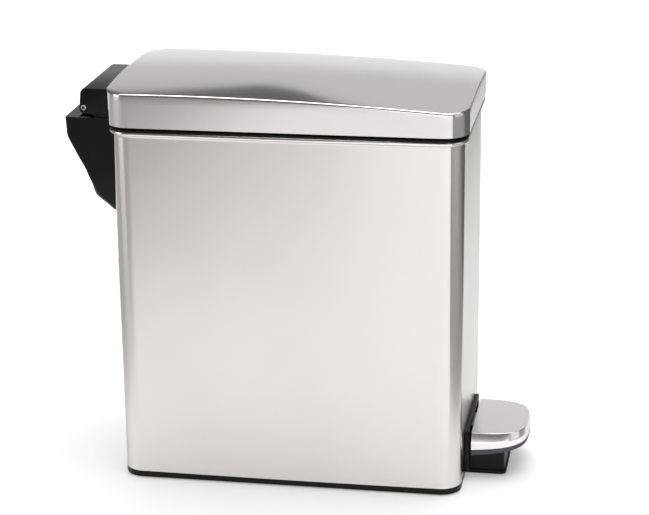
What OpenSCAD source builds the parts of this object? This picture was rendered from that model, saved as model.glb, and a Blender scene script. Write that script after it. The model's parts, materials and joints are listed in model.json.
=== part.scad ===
// Slim pedal bin: a steel tube body with a removable bucket, a rear-hinged lid and a foot pedal.
// The pedal lever lifts a push rod, and the rod's top pin turns a slotted crank under the lid.
// Millimetres, +Z up, pedal at +X, hinge at -X, origin on the floor under the middle of the whole bin.

/* [Body] */
// Length of the steel body, back to front
body_l = 280; // [220:1:360]
// Width of the steel body
body_w = 160; // [130:1:240]
// Outer corner radius of the body, seen from above
body_r = 17; // [12:0.5:30]
// Height of the rolled steel rim above the floor
rim_z = 296; // [240:1:420]
// Thickness of the stainless sheet
sheet = 0.8; // [0.5:0.1:1.2]
// How far the rolled rim stands out from the wall
rim_out = 3; // [2:0.1:4]
// Height of the rolled rim
rim_h = 3.5; // [2.5:0.1:6]

/* [Base] */
// How far the rubber feet stand below the base
foot_h = 1; // [0.6:0.1:3]
// Radius of a rubber foot
foot_r = 7; // [5:0.5:9]
// Height of the base band that shows below the steel
band_h = 5.2; // [4:0.1:8]
// Thickness of the base's floor
tray_t = 2.5; // [2:0.1:3.5]
// Thickness of the base's upright wall
tray_wall = 2; // [1.6:0.1:2.8]
// How far that wall reaches up inside the steel
tray_up = 12; // [6:0.5:16]
// Reach of the steadying foot under the pedal, from the front wall
toe_l = 32; // [22:0.5:34]
// Width of the steadying foot
toe_w = 62; // [40:1:64]
// Height of the steadying foot above the floor
toe_h = 19.5; // [14:0.5:19.5]

/* [Collar and bucket] */
// Thickness of the plastic collar's wall
collar_t = 2.2; // [1.8:0.1:3]
// Height of the collar band above the rolled rim
collar_h = 1.8; // [1.4:0.1:3]
// How far the collar reaches down inside the body
collar_drop = 13; // [11:0.5:20]
// Wall of the bucket
bucket_t = 1.6; // [1.2:0.1:2.4]
// Height of the bucket's underside above the floor
bucket_z = 50; // [48:1:70]
// Space between the bucket and the side walls
side_gap = 6.2; // [5:0.1:12]
// Length of a finger slot in the bucket's side
grip_l = 60; // [50:1:80]
// Height of a finger slot
grip_h = 16; // [12:1:20]

/* [Lid] */
// How far the lid overhangs the body all round
lid_out = 3.5; // [3:0.1:6]
// Gap between the collar band and the lid's skirt
lid_gap = 1.7; // [1.4:0.1:3]
// Height of the lid's skirt at its highest point
skirt_h = 27; // [22:0.5:40]
// Where that highest point lies, in front of the rear wall
crest_in = 50; // [0:1:120]
// Radius of the lid's lengthwise arch
arch_r = 3100; // [2400:50:8000]
// Rise of the lid's crown from edge to middle
crown_h = 4.5; // [2:0.5:9]
// Height of the liner's panel above the skirt's lower edge
panel_up = 8.5; // [7.5:0.5:10]

/* [Hinge] */
// Distance of the hinge pin behind the rear wall
hinge_back = 29.5; // [28:0.5:36]
// Height of the hinge pin above the collar band
hinge_up = 7; // [6.5:0.1:9]
// Outer diameter of the spring pin
pin_d = 4.2; // [3.6:0.1:4.4]
// Width of the hinge cap and of the rear cover
cap_w = 89.2; // [80:1:110]
// Height of the hinge cap
cap_h = 21.6; // [20:0.2:24]
// Plastic left behind the pin
cap_back = 3.7; // [3.4:0.1:6]
// Wall of the cap and of the cover
shell_t = 2; // [1.6:0.1:2.4]
// Thickness of the hinge plates
plate_t = 2; // [1.6:0.1:2.2]
// How far the lid opens, in degrees
open_angle = 75; // [60:1:80]

/* [Linkage] */
// Distance of the push rod in front of the hinge pin
link_reach = 17; // [15:0.5:18]
// Diameter of the push rod
rod_d = 5; // [4:0.1:6]
// Diameter of the two link pins
link_d = 3.5; // [3:0.1:4]
// Play of the top pin across the crank's slot
slot_play = 1.7; // [1.7:0.1:2]
// Distance of the rod's lower run from the rear wall
rod_in = 8; // [7.5:0.5:9]
// Outer diameter of the air damper
damper_d = 13; // [11:0.5:13]

/* [Pedal] */
// Reach of the pedal from the front wall
pedal_reach = 50; // [46:1:60]
// Width of the pedal
pedal_w = 82; // [78:1:90]
// Height of the pedal's top above the floor
pedal_z = 39.3; // [38:0.1:42]
// Height of the pedal's steel cover
pedal_cover_h = 14.3; // [12:0.1:15]
// Height of the plastic lip below the steel cover
pedal_lip_h = 5; // [3:0.1:6]
// Radius of the pedal's outer corners
pedal_r = 22; // [14:0.5:26]
// Distance of the pedal axle behind the front wall
axle_in = 60; // [50:1:70]
// Height of the pedal axle above the floor
axle_z = 25.4; // [24:0.1:27]
// Diameter of the pedal axle
axle_d = 5; // [4:0.1:6]
// Width of the pedal lever
lever_w = 24; // [18:1:30]

/* [Hidden] */
$fn = 64;
// Clearances: a running fit, a fit between fixed pieces, a free gap, and a press fit.
run_fit = 0.05;
seat_fit = 0.3;
free_gap = 1;
press_fit = 0.02;

// Levels and walls of the body
front = body_l / 2;
rear = -front;
band_z = foot_h + band_h;
in_l = body_l - 2 * (sheet + seat_fit);
in_w = body_w - 2 * (sheet + seat_fit);
in_r = body_r - sheet - seat_fit;
collar_z = rim_z + collar_h;
ledge_z = rim_z - collar_drop;
ledge_t = 3;

// Feet and lid bumpers
foot_in = 25;
foot_x = front - foot_in;
foot_y = body_w / 2 - foot_in;
foot_stem_r = 2.5;
bumper_in = 30;
bumper_r = 1.4;

// Fasteners: shank radius, head radius and head height
bracket_rivet = [2, 3, 1];
guide_rivet = [1.5, 2.4, 1];
cover_screw = [1.6, 3, 2];
cap_screw = [1.5, 2.8, 1.6];
lid_screw = [1.5, 2.8, 1.6];
pedal_screw = [1.3, 2.6, 1.4];
guide_rivet_y = 11;
lid_screw_y = 22;

// Lid levels
skirt_z = collar_z + lid_gap;
lid_l = body_l + 2 * lid_out;
lid_w = body_w + 2 * lid_out;
lid_r = body_r + lid_out;
crest_x = rear + crest_in;
fold_z = skirt_z + skirt_h;
cross_r = pow(lid_w / 2, 2) / (2 * crown_h);
panel_z = skirt_z + panel_up;
panel_t = 2;
liner_z = skirt_z + 0.5;

// Hinge and linkage
hinge_x = rear - hinge_back;
hinge_z = collar_z + hinge_up;
knuckle_t = 2.1;
knuckle_r = pin_d / 2 + knuckle_t;
ear_y = 26;
bush_t = 2;
lever_y = ear_y + plate_t + bush_t;
yoke_half = lever_y + plate_t + 1;
crank_t = 2.5;
half_turn = open_angle / 2;
rod_x = hinge_x + link_reach;
rod_low_x = rear + rod_in;
link_z = hinge_z - link_reach * tan(half_turn);
lift = 2 * link_reach * tan(half_turn);
slot_w = link_d + slot_play;
slot_from = link_reach - 0.4;
slot_to = link_reach / cos(half_turn) + 0.3;
fork_gap = crank_t / 2 + 0.4;
fork_half = fork_gap + 1.8;
fork_z = link_z - 10;
yoke_z = fork_z - 9.5;
yoke_t = 4;
damper_x = rod_x - 3;
damper_y = 17;
damper_top = yoke_z - 4;
piston_h = 4;
damper_t = 1.7;
stem_r = 1.5;
damper_h = lift + piston_h + 6;
jog_z = damper_top - damper_h + 4;
window_z = [jog_z - rod_d / 2 - 3, jog_z + lift + rod_d / 2 + 3];
window_half = rod_d / 2 + 3.5;
plate_z = [window_z[0] - 3, rim_z - rim_h - 2.5];
guide_z = plate_z[0] - 8;
guide_h = 6;
guide_t = 2;
guide_half = 15;
rivet_y = 21;
rivet_z = [window_z[0] + 5, ledge_z - 5];

// Pedal lever; bezel_out is how far the bezel stands out, heel_gap the space between it and the pedal
bezel_out = 3.6;
heel_gap = 1.6;
axle_x = front - axle_in;
lever_back = axle_x - rod_low_x;
swing = 2 * asin(lift / 2 / lever_back);
foot_pin_z = axle_z - lift / 2;
pedal_x = [front + bezel_out + heel_gap, front + pedal_reach];
pedal_rise = pedal_z - 2.8;
pedal_low = pedal_z - pedal_cover_h - pedal_lip_h;
post_y = 20;
post_t = 8;
post_half = 7;
post_wall = 3;
lever_t = 2;
eye_play = 0.75;
pedal_plate_in = 9;

// Steadying foot
toe_r = 4;

// Bezel round the pedal's opening
bezel_half = pedal_w / 2 + 1;
bezel_top = pedal_z + 2.1;
bezel_bar = 6;

// Bucket, moved forward to leave room for the push rod
bucket_back = rear + rod_in + rod_d / 2 + 4.5;
bucket_front = front - 7;
bucket_l = bucket_front - bucket_back;
bucket_x = (bucket_front + bucket_back) / 2;
bucket_w = body_w - 2 * (sheet + side_gap);
bucket_r = body_r - 5;
bucket_rim_z = ledge_z + ledge_t;
grip_z = ledge_z - 14;

// Rear cover outline: reach behind the rear wall, and height
cover_reach = hinge_back + 15.8;
cover_z = collar_z - free_gap;
cover_low = cover_z - 80.3;
cover_bend = [
  [cover_reach, cover_z], [cover_reach - 0.8, cover_z - 16], [cover_reach - 8.9, cover_z - 32.2],
  [cover_reach - 15.1, cover_z - 43.5], [cover_reach - 18.5, cover_z - 53.2],
  [cover_reach - 20.2, cover_z - 67.5], [cover_reach - 31.7, cover_low + 1.5], [4.7, cover_low]];
cover_taper_z = cover_z - 47;
cover_pinch = 4.6;
screw_y = cap_w / 2 - 7.6;
screw_z = cover_z - 59;
screw_seat = rear - cover_reach + 26;
screw_boss_r = 4.6;
cap_screw_y = cap_w / 2 - shell_t - 3.4;
cap_screw_z = panel_z + 7;
cap_boss_r = 3.6;
cap_top_r = 5;
cap_foot_r = 4.5;

// The body's middle, set so that the whole bin is centred on the origin
body_x = (cover_reach - pedal_reach) / 2;

// Point where a line from p touches a circle round c, on side s.
function tangent(p, c, r, s) =
  let (d = c - p, far = norm(d), a = atan2(d[1], d[0]), b = s * asin(r / far))
  p + sqrt(far * far - r * r) * [cos(a + b), sin(a + b)];

// Moves a piece drawn about the body's middle to its place in the bin.
module placed() {
  translate([body_x, 0, 0]) children();
}

// Flat rectangle with round corners, centred.
module rounded(l, w, r) {
  square([l - 2 * r, w], center = true);
  square([l, w - 2 * r], center = true);
  for (x = [-1, 1], y = [-1, 1])
    translate([x * (l / 2 - r), y * (w / 2 - r)]) circle(r);
}

module slab(l, w, r, low, high) {
  translate([0, 0, low]) linear_extrude(high - low) rounded(l, w, r);
}

module ring(l, w, r, t, low, high) {
  difference() {
    slab(l, w, r, low, high);
    slab(l - 2 * t, w - 2 * t, r - t, low - 1, high + 1);
  }
}

// Block between two corners.
module block(low, high) {
  translate(low) cube(high - low);
}

// Round bar along X, Y or Z.
module bar_x(r, x0, x1, y, z) {
  translate([x0, y, z]) rotate([0, 90, 0]) cylinder(r = r, h = x1 - x0);
}

module bar_y(r, x, y0, y1, z) {
  translate([x, y0, z]) rotate([-90, 0, 0]) cylinder(r = r, h = y1 - y0);
}

module bar_z(r, x, y, z0, z1) {
  translate([x, y, z0]) cylinder(r = r, h = z1 - z0);
}

// Plate standing in the XZ plane, from y0 to y1.
module upright(y0, y1) {
  translate([0, y1, 0]) rotate([90, 0, 0]) linear_extrude(y1 - y0) children();
}

// Places on both sides of the centre plane.
module both_sides() {
  children();
  mirror([0, 1, 0]) children();
}

module body_shell() {
  color("silver") placed() difference() {
    union() {
      ring(body_l, body_w, body_r, sheet, band_z, rim_z);
      ring(body_l + 2 * rim_out, body_w + 2 * rim_out, body_r + rim_out, rim_out + sheet / 2,
           rim_z - rim_h, rim_z);
    }
    block([front - 5, -bezel_half + 4, band_z - 1], [front + 5, bezel_half - 4, bezel_top - 1.2]);
    block([rear - 5, -window_half, window_z[0]], [rear + 5, window_half, window_z[1]]);
    rivet_bores();
    guide_bores();
    both_sides() bar_x(cover_screw[0], rear - 5, rear + 5, screw_y, screw_z);
  }
}

module base_tray() {
  color([0.1, 0.1, 0.11]) placed() difference() {
    union() {
      slab(body_l, body_w, body_r, foot_h, foot_h + tray_t);
      ring(body_l, body_w, body_r, 3, foot_h, band_z);
      difference() {
        ring(in_l, in_w, in_r, tray_wall, foot_h, band_z + tray_up);
        block([front - 20, -bezel_half + 3, band_z], [front + 5, bezel_half - 3, band_z + tray_up + 1]);
      }
      toe(0, foot_h, toe_h);
      toe(1.5, foot_h, foot_h + 3);
      both_sides() axle_post();
    }
    toe(-tray_wall, foot_h - 1, toe_h - tray_wall);
    for (x = [-1, 1], y = [-1, 1])
      translate([x * foot_x, y * foot_y, 0]) cylinder(r = foot_stem_r, h = 10);
    bar_y(axle_d / 2 + press_fit, axle_x, -50, 50, axle_z);
  }
}

// Steadying foot under the pedal; grow widens it.
module toe(grow, low, high) {
  long = toe_l + 3 + grow;
  wide = toe_w + 2 * grow;
  translate([front - 3, 0, low]) linear_extrude(high - low) difference() {
    translate([long / 2, 0]) union() {
      rounded(long, wide, toe_r + grow);
      translate([-long / 4, 0]) square([long / 2, wide], center = true);
    }
    if (grow < 0) translate([-10, -50]) square([14, 100]);
  }
}

module axle_post() {
  upright(post_y, post_y + post_t) union() {
    translate([axle_x, axle_z]) circle(axle_d / 2 + post_wall);
    translate([axle_x - post_half, foot_h + 1]) square([2 * post_half, axle_z - foot_h - 1]);
  }
}

module rubber_feet() {
  color([0.2, 0.2, 0.2]) placed() for (x = [-1, 1], y = [-1, 1])
    translate([x * foot_x, y * foot_y, 0]) {
      cylinder(r = foot_r, h = foot_h);
      cylinder(r = foot_stem_r - run_fit, h = foot_h + tray_t);
    }
}

module top_collar() {
  color([0.1, 0.1, 0.11]) placed() {
    ring(body_l + 2 * rim_out, body_w + 2 * rim_out, body_r + rim_out,
         rim_out + sheet + seat_fit + collar_t, rim_z, collar_z);
    ring(in_l, in_w, in_r, collar_t, ledge_z, collar_z);
    difference() {
      slab(in_l - 1, in_w - 1, in_r - 0.5, ledge_z, ledge_z + ledge_t);
      translate([bucket_x, 0, 0])
        slab(bucket_l + 1, bucket_w + 1, bucket_r + 0.5, ledge_z - 1, ledge_z + ledge_t + 1);
    }
  }
}

module lid_bumpers() {
  color([0.2, 0.2, 0.2]) placed() for (x = [-1, 1], y = [-1, 1])
    translate([x * (front - bumper_in), y * (body_w / 2 + 1), collar_z])
      cylinder(r = bumper_r, h = liner_z - collar_z - run_fit);
}

module pedal_bezel() {
  color([0.1, 0.1, 0.11]) placed() difference() {
    union() {
      block([front, -bezel_half, band_z], [front + bezel_out, bezel_half, bezel_top]);
      block([front - 3, -bezel_half + 4.2, band_z], [front + 1, bezel_half - 4.2, bezel_top - 1.4]);
    }
    block([front - 9, -bezel_half + bezel_bar, band_z - 1],
          [front + 9, bezel_half - bezel_bar, bezel_top - 3]);
  }
}

module inner_bucket() {
  color([0.25, 0.26, 0.28]) placed() difference() {
    union() {
      translate([bucket_x, 0, 0]) slab(bucket_l, bucket_w, bucket_r, bucket_z, bucket_rim_z + 3);
      slab(in_l - 2 * collar_t - 1, in_w - 2 * collar_t - 1, in_r - collar_t - 0.5,
           bucket_rim_z, bucket_rim_z + 3);
    }
    translate([bucket_x, 0, 0]) slab(bucket_l - 2 * bucket_t, bucket_w - 2 * bucket_t,
      bucket_r - bucket_t, bucket_z + bucket_t, bucket_rim_z + 5);
    upright(-body_w, body_w) translate([bucket_x, grip_z]) rounded(grip_l, grip_h, grip_h / 2 - 0.01);
  }
}

// Ear that carries the hinge pin, as a plate outline.
module ear_outline() {
  low = [rear, plate_z[1] - 30];
  high = [rear, plate_z[1]];
  pin = [hinge_x, hinge_z];
  union() {
    translate(pin) circle(knuckle_r);
    polygon([low, high, tangent(high, pin, knuckle_r * 0.97, -1), tangent(low, pin, knuckle_r * 0.97, 1)]);
  }
}

module hinge_bracket() {
  color("lightgray") placed() difference() {
    union() {
      block([rear - plate_t, -lever_y - 1, plate_z[0]], [rear, lever_y + 1, plate_z[1]]);
      both_sides() upright(ear_y, ear_y + plate_t) ear_outline();
    }
    block([rear - 5, -window_half, window_z[0]], [rear + 5, window_half, window_z[1]]);
    bar_y(pin_d / 2 + press_fit, hinge_x, -50, 50, hinge_z);
    rivet_bores();
  }
}

module rivet_bores() {
  both_sides() for (z = rivet_z) bar_x(bracket_rivet[0], rear - 6, rear + 6, rivet_y, z);
}

module guide_bores() {
  both_sides() bar_x(guide_rivet[0], rear - 6, rear + 6, guide_rivet_y, guide_z + guide_h / 2);
}

module bracket_rivets() {
  color("gray") placed() both_sides() for (z = rivet_z) {
    bar_x(bracket_rivet[0] - press_fit, rear - plate_t - bracket_rivet[2],
          rear + sheet + bracket_rivet[2], rivet_y, z);
    bar_x(bracket_rivet[1], rear - plate_t - bracket_rivet[2], rear - plate_t, rivet_y, z);
    bar_x(bracket_rivet[1], rear + sheet, rear + sheet + bracket_rivet[2], rivet_y, z);
  }
}

// Outline of the rear cover, drawn g inside its outer face.
module cover_outline(g) {
  polygon(concat([[rear, cover_z + (g > 0 ? 5 : 0)]],
    [for (i = [0 : len(cover_bend) - 1]) let (p = cover_bend[i])
      [rear - max(p[0] - g, 0), (i == 0 && g > 0) ? cover_z + 5 : p[1] + (i > 4 ? g : 0)]],
    [[rear, cover_low + g]]));
}

// Width of the rear cover by height, narrower at the bottom, drawn g inside.
module cover_front(g) {
  h = cap_w / 2 - g;
  polygon([[-h, cover_z + 6], [h, cover_z + 6], [h, cover_taper_z], [h - cover_pinch, cover_low - 1],
           [-h + cover_pinch, cover_low - 1], [-h, cover_taper_z]]);
}

module cover_block(g) {
  intersection() {
    upright(-cap_w, cap_w) cover_outline(g);
    translate([rear - 60, 0, 0]) rotate([90, 0, 90]) linear_extrude(62) cover_front(g);
  }
}

module rear_cover() {
  ledge_end = hinge_x - cap_back - free_gap;
  color([0.1, 0.1, 0.11]) placed() difference() {
    union() {
      difference() {
        cover_block(0);
        cover_block(shell_t);
      }
      intersection() {
        cover_block(0);
        both_sides() bar_x(screw_boss_r, rear - 30, rear, screw_y, screw_z);
      }
      intersection() {
        cover_block(0);
        block([rear - cover_reach, -cap_w, cover_z - shell_t], [ledge_end, cap_w, cover_z]);
      }
    }
    both_sides() bar_x(cover_screw[0], rear - 60, rear + 2, screw_y, screw_z);
    both_sides() bar_x(cover_screw[1] + seat_fit, rear - 60, screw_seat, screw_y, screw_z);
    block([rear - rim_out - seat_fit, -cap_w, rim_z - rim_h - seat_fit], [rear + 1, cap_w, cover_z + 10]);
  }
}

module cover_screws() {
  color("gray") placed() both_sides() {
    bar_x(cover_screw[0] - run_fit, screw_seat, rear + sheet + 3, screw_y, screw_z);
    difference() {
      bar_x(cover_screw[1], screw_seat - cover_screw[2], screw_seat, screw_y, screw_z);
      translate([screw_seat - 3, screw_y, screw_z]) rotate([0, 90, 0]) cylinder(r = 1.4, h = 2, $fn = 6);
    }
  }
}

module hinge_pin() {
  color("lightgray") placed() difference() {
    bar_y(pin_d / 2, hinge_x, -cap_w / 2, cap_w / 2, hinge_z);
    bar_y(pin_d / 2 - 0.8, hinge_x, -cap_w, cap_w, hinge_z);
  }
}

module hinge_bushes() {
  color("white") placed() both_sides() difference() {
    bar_y(knuckle_r, hinge_x, ear_y + plate_t, lever_y - run_fit, hinge_z);
    bar_y(pin_d / 2 + press_fit, hinge_x, 0, cap_w, hinge_z);
  }
}

module rod_guide() {
  color("white") placed() difference() {
    union() {
      block([rear + sheet, -guide_half, guide_z], [rear + sheet + guide_t, guide_half, guide_z + guide_h]);
      block([rear + sheet, -6, guide_z], [rod_low_x + rod_d / 2 + 1.6, 6, guide_z + guide_h]);
    }
    bar_z(rod_d / 2 + run_fit, rod_low_x, 0, guide_z - 1, guide_z + guide_h + 1);
    guide_bores();
  }
}

module guide_rivets() {
  y = guide_rivet_y;
  z = guide_z + guide_h / 2;
  inside = rear + sheet + guide_t;
  color("gray") placed() both_sides() {
    bar_x(guide_rivet[0] - press_fit, rear - guide_rivet[2], inside + guide_rivet[2], y, z);
    bar_x(guide_rivet[1], rear - guide_rivet[2], rear, y, z);
    bar_x(guide_rivet[1], inside, inside + guide_rivet[2], y, z);
  }
}

module damper_cylinder() {
  color("dimgray") placed() difference() {
    bar_z(damper_d / 2, damper_x, damper_y, damper_top - damper_h, damper_top);
    bar_z(damper_d / 2 - damper_t, damper_x, damper_y, damper_top - damper_h + 2, damper_top - 2);
    bar_z(stem_r + run_fit, damper_x, damper_y, damper_top - 3, damper_top + 1);
  }
}

module damper_clips() {
  clip_z = damper_top - 12;
  color("white") placed() difference() {
    union() {
      bar_z(damper_d / 2 + 1.3, damper_x, damper_y, clip_z, clip_z + 6);
      block([damper_x, damper_y - 4, clip_z], [rear - plate_t, damper_y + 4, clip_z + 6]);
    }
    bar_z(damper_d / 2 + press_fit, damper_x, damper_y, clip_z - 1, clip_z + 7);
  }
}

module pedal_axle() {
  color("lightgray") placed() bar_y(axle_d / 2, axle_x, -post_y - post_t - 3, post_y + post_t + 3, axle_z);
}

module axle_clips() {
  color("gray") placed() both_sides() difference() {
    bar_y(axle_d / 2 + 2, axle_x, post_y + post_t, post_y + post_t + 1, axle_z);
    bar_y(axle_d / 2 + press_fit, axle_x, 0, 50, axle_z);
  }
}

// Everything below the lid's doubly curved top, lowered by drop.
module under_crown(drop) {
  translate([crest_x, 0, fold_z - arch_r - drop]) rotate([90, 0, 0])
    rotate_extrude(angle = 14, start = 82, $fn = 720) intersection() {
      translate([arch_r + crown_h - cross_r, 0]) circle(cross_r, $fn = 360);
      translate([arch_r - 90, -lid_w]) square([180, 2 * lid_w]);
    }
}

module lid_shell() {
  color("silver") placed() difference() {
    intersection() {
      slab(lid_l, lid_w, lid_r, skirt_z, fold_z + 20);
      under_crown(0);
    }
    intersection() {
      slab(lid_l - 2 * sheet, lid_w - 2 * sheet, lid_r - sheet, skirt_z - 1, fold_z + 20);
      under_crown(sheet);
    }
    block([rear - 10, -yoke_half - 0.5, skirt_z - 1], [rear + 5, yoke_half + 0.5, panel_z + 0.5]);
    both_sides() bar_x(cap_screw[0] + run_fit, rear - 10, rear + 5, cap_screw_y, cap_screw_z);
  }
}

module lid_liner() {
  inset = sheet + seat_fit;
  color([0.12, 0.12, 0.13]) placed() difference() {
    union() {
      ring(lid_l - 2 * inset, lid_w - 2 * inset, lid_r - inset, 3, liner_z, panel_z + panel_t);
      slab(lid_l - 2 * inset - 2, lid_w - 2 * inset - 2, lid_r - inset - 1, panel_z, panel_z + panel_t);
      lid_screw_places() cylinder(r = 3.4, h = panel_t + 3);
    }
    block([rear - 10, -yoke_half - 0.5, liner_z - 1], [rear + 8, yoke_half + 0.5, panel_z]);
    lid_screw_places() translate([0, 0, -1]) cylinder(r = lid_screw[0], h = 20);
  }
}

module lid_screw_places() {
  for (x = [rear + 14, rear + 38], y = [-1, 1]) translate([x, y * lid_screw_y, panel_z]) children();
}

module lid_screws() {
  color("gray") placed() lid_screw_places() {
    translate([0, 0, -plate_t]) cylinder(r = lid_screw[0] - press_fit, h = plate_t + 5);
    translate([0, 0, -plate_t - lid_screw[2]]) cylinder(r = lid_screw[1], h = lid_screw[2]);
  }
}

// Crank that the push rod's pin turns: an arm with a slot along it, and a web up to the lever's plate.
module crank_outline() {
  arm_half = slot_w / 2 + 2;
  difference() {
    union() {
      translate([hinge_x, hinge_z]) rotate(-half_turn) {
        circle(arm_half);
        translate([0, -arm_half]) square([slot_to, 2 * arm_half]);
        translate([slot_to, 0]) circle(arm_half);
      }
      polygon([[hinge_x + 1, hinge_z], [hinge_x + 8.5, panel_z - 0.5], [hinge_x + 24, panel_z - 0.5],
               [hinge_x + 13, hinge_z - 4]]);
    }
    translate([hinge_x, hinge_z]) rotate(-half_turn) {
      translate([slot_from, 0]) circle(slot_w / 2);
      translate([slot_to, 0]) circle(slot_w / 2);
      translate([slot_from, -slot_w / 2]) square([slot_to - slot_from, slot_w]);
    }
  }
}

module lid_lever() {
  lever_front = rear + 45;
  color("lightgray") placed() difference() {
    union() {
      block([hinge_x + 9, -lever_y - plate_t, panel_z - plate_t], [lever_front, lever_y + plate_t, panel_z]);
      both_sides() upright(lever_y, lever_y + plate_t) union() {
        translate([hinge_x, hinge_z]) circle(knuckle_r);
        polygon([[hinge_x, hinge_z - knuckle_r + 0.2], [hinge_x + 3, hinge_z + knuckle_r - 1.2],
                 [hinge_x + 9, panel_z], [lever_front, panel_z], [lever_front, liner_z + 1],
                 [hinge_x + 9, liner_z + 1]]);
      }
      upright(-crank_t / 2, crank_t / 2) crank_outline();
    }
    bar_y(pin_d / 2 + run_fit, hinge_x, -50, 50, hinge_z);
    lid_screw_places() translate([0, 0, -10]) cylinder(r = lid_screw[0], h = 20);
  }
}

// Side view of the hinge cap, with its two rear corners rounded.
module cap_outline() {
  low = skirt_z - 0.3;
  back = hinge_x - cap_back;
  union() {
    translate([back + cap_top_r, low]) square([rear - lid_out - back - cap_top_r, cap_h]);
    translate([back, low + cap_foot_r]) square([cap_top_r + 1, cap_h - cap_foot_r - cap_top_r]);
    translate([back + cap_foot_r, low]) square([2, 6]);
    translate([back + cap_foot_r, low + cap_foot_r]) circle(cap_foot_r);
    translate([back + cap_top_r, low + cap_h - cap_top_r]) circle(cap_top_r);
  }
}

module hinge_cap() {
  low = skirt_z - 0.3;
  back = hinge_x - cap_back;
  inner = cap_w / 2 - shell_t;
  color([0.1, 0.1, 0.11]) placed() difference() {
    union() {
      difference() {
        upright(-cap_w / 2, cap_w / 2) cap_outline();
        block([back + shell_t + 3, -inner, low - 1], [rear, inner, low + cap_h - shell_t]);
        block([back + shell_t, -inner, low - 1], [rear, inner, low + cap_h - shell_t - 3]);
        block([back - 1, -yoke_half, low - 1], [rear, yoke_half, hinge_z + knuckle_r + 1.5]);
      }
      both_sides() bar_x(cap_boss_r, rear - lid_out - 9, rear - lid_out, cap_screw_y, cap_screw_z);
    }
    bar_y(pin_d / 2 + run_fit, hinge_x, -cap_w, cap_w, hinge_z);
    both_sides() bar_x(cap_screw[0], rear - lid_out - 8, rear, cap_screw_y, cap_screw_z);
  }
}

module cap_screws() {
  inside = rear - lid_out + sheet;
  color("gray") placed() both_sides() {
    bar_x(cap_screw[0] - press_fit, inside - sheet - 7, inside, cap_screw_y, cap_screw_z);
    bar_x(cap_screw[1], inside, inside + cap_screw[2], cap_screw_y, cap_screw_z);
  }
}

module push_rod() {
  r = rod_d / 2;
  color("lightgray") placed() difference() {
    union() {
      bar_z(r, rod_low_x, 0, foot_pin_z, jog_z);
      bar_x(r, rod_x, rod_low_x, 0, jog_z);
      bar_z(r, rod_x, 0, jog_z, fork_z - 3);
      translate([rod_low_x, 0, jog_z]) sphere(r);
      translate([rod_x, 0, jog_z]) sphere(r);
      bar_y(link_d / 2 + 2.2, rod_low_x, -4, 4, foot_pin_z);
      block([rod_x - 3, -fork_half, fork_z - 4], [rod_x + 3, fork_half, fork_z]);
      both_sides() block([rod_x - 3, fork_gap, fork_z - 1], [rod_x + 3, fork_half, link_z + 3]);
    }
    bar_y(link_d / 2, rod_low_x, -10, 10, foot_pin_z);
    bar_y(link_d / 2, rod_x, -10, 10, link_z);
  }
}

module link_pins() {
  r = link_d / 2 - press_fit;
  color("gray") placed() {
    bar_y(r, rod_x, -fork_half - 0.6, fork_half + 0.6, link_z);
    bar_y(r, rod_low_x, -lever_w / 2 - 1, lever_w / 2 + 1, foot_pin_z);
  }
}

module rod_yoke() {
  color("white") placed() difference() {
    block([damper_x - 4, -rod_d / 2 - 2, yoke_z], [rod_x + rod_d / 2 + 2, damper_y + 4, yoke_z + yoke_t]);
    bar_z(rod_d / 2 + press_fit, rod_x, 0, yoke_z - 1, yoke_z + yoke_t + 1);
    bar_z(stem_r + press_fit, damper_x, damper_y, yoke_z - 1, yoke_z + yoke_t + 1);
  }
}

module damper_piston() {
  low = damper_top - damper_h + 2.5;
  color("gray") placed() {
    bar_z(damper_d / 2 - damper_t - run_fit, damper_x, damper_y, low, low + piston_h);
    bar_z(stem_r, damper_x, damper_y, low, yoke_z + yoke_t + 1);
  }
}

// Side view of the pedal lever's flanges: rear eye, axle eye and the step up to the pedal.
module lever_outline() {
  eye = link_d / 2 + 2.6;
  union() {
    translate([rod_low_x, foot_pin_z]) circle(eye);
    polygon([[rod_low_x, foot_pin_z - eye + 0.1], [axle_x, axle_z - 6], [axle_x + 30, pedal_rise - 7],
             [pedal_x[0] - 4, pedal_rise - 5], [pedal_x[0] - 4, pedal_rise], [axle_x + 35, pedal_rise],
             [axle_x, axle_z + 6.5], [rod_low_x, foot_pin_z + eye - 0.1]]);
  }
}

module pedal_lever() {
  color("lightgray") placed() difference() {
    union() {
      both_sides() upright(lever_w / 2 - lever_t, lever_w / 2) lever_outline();
      upright(-lever_w / 2 + 1, lever_w / 2 - 1) polygon([
        [rod_low_x + 20, foot_pin_z + 3.4], [axle_x, axle_z + 4.5], [axle_x + 35, pedal_rise - 2],
        [pedal_x[0] - 4, pedal_rise - 2], [pedal_x[0] - 4, pedal_rise], [axle_x + 35, pedal_rise],
        [axle_x, axle_z + 6.5], [rod_low_x + 20, foot_pin_z + 5.4]]);
      block([pedal_x[0] - 8, -lever_w / 2, pedal_rise - lever_t],
            [pedal_x[0] + 2, lever_w / 2, pedal_rise]);
      block([pedal_x[0] + 1, -pedal_w / 2 + pedal_plate_in, pedal_rise - lever_t],
            [pedal_x[1] - 12, pedal_w / 2 - pedal_plate_in, pedal_rise]);
    }
    bar_y(axle_d / 2 + run_fit, axle_x, -50, 50, axle_z);
    bar_y(link_d / 2 + eye_play, rod_low_x + 0.2, -50, 50, foot_pin_z);
    pedal_screw_places() translate([0, 0, -5]) cylinder(r = pedal_screw[0] + seat_fit, h = 10);
  }
}

module pedal_screw_places() {
  for (x = [pedal_x[0] + 6, pedal_x[0] + 20], y = [-1, 1])
    translate([x, y * (pedal_w / 2 - 14), pedal_rise]) children();
}

module axle_spacers() {
  color("white") placed() both_sides() difference() {
    bar_y(axle_d / 2 + 1.6, axle_x, lever_w / 2 + run_fit, post_y - run_fit, axle_z);
    bar_y(axle_d / 2 + run_fit, axle_x, 0, 50, axle_z);
  }
}

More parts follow.
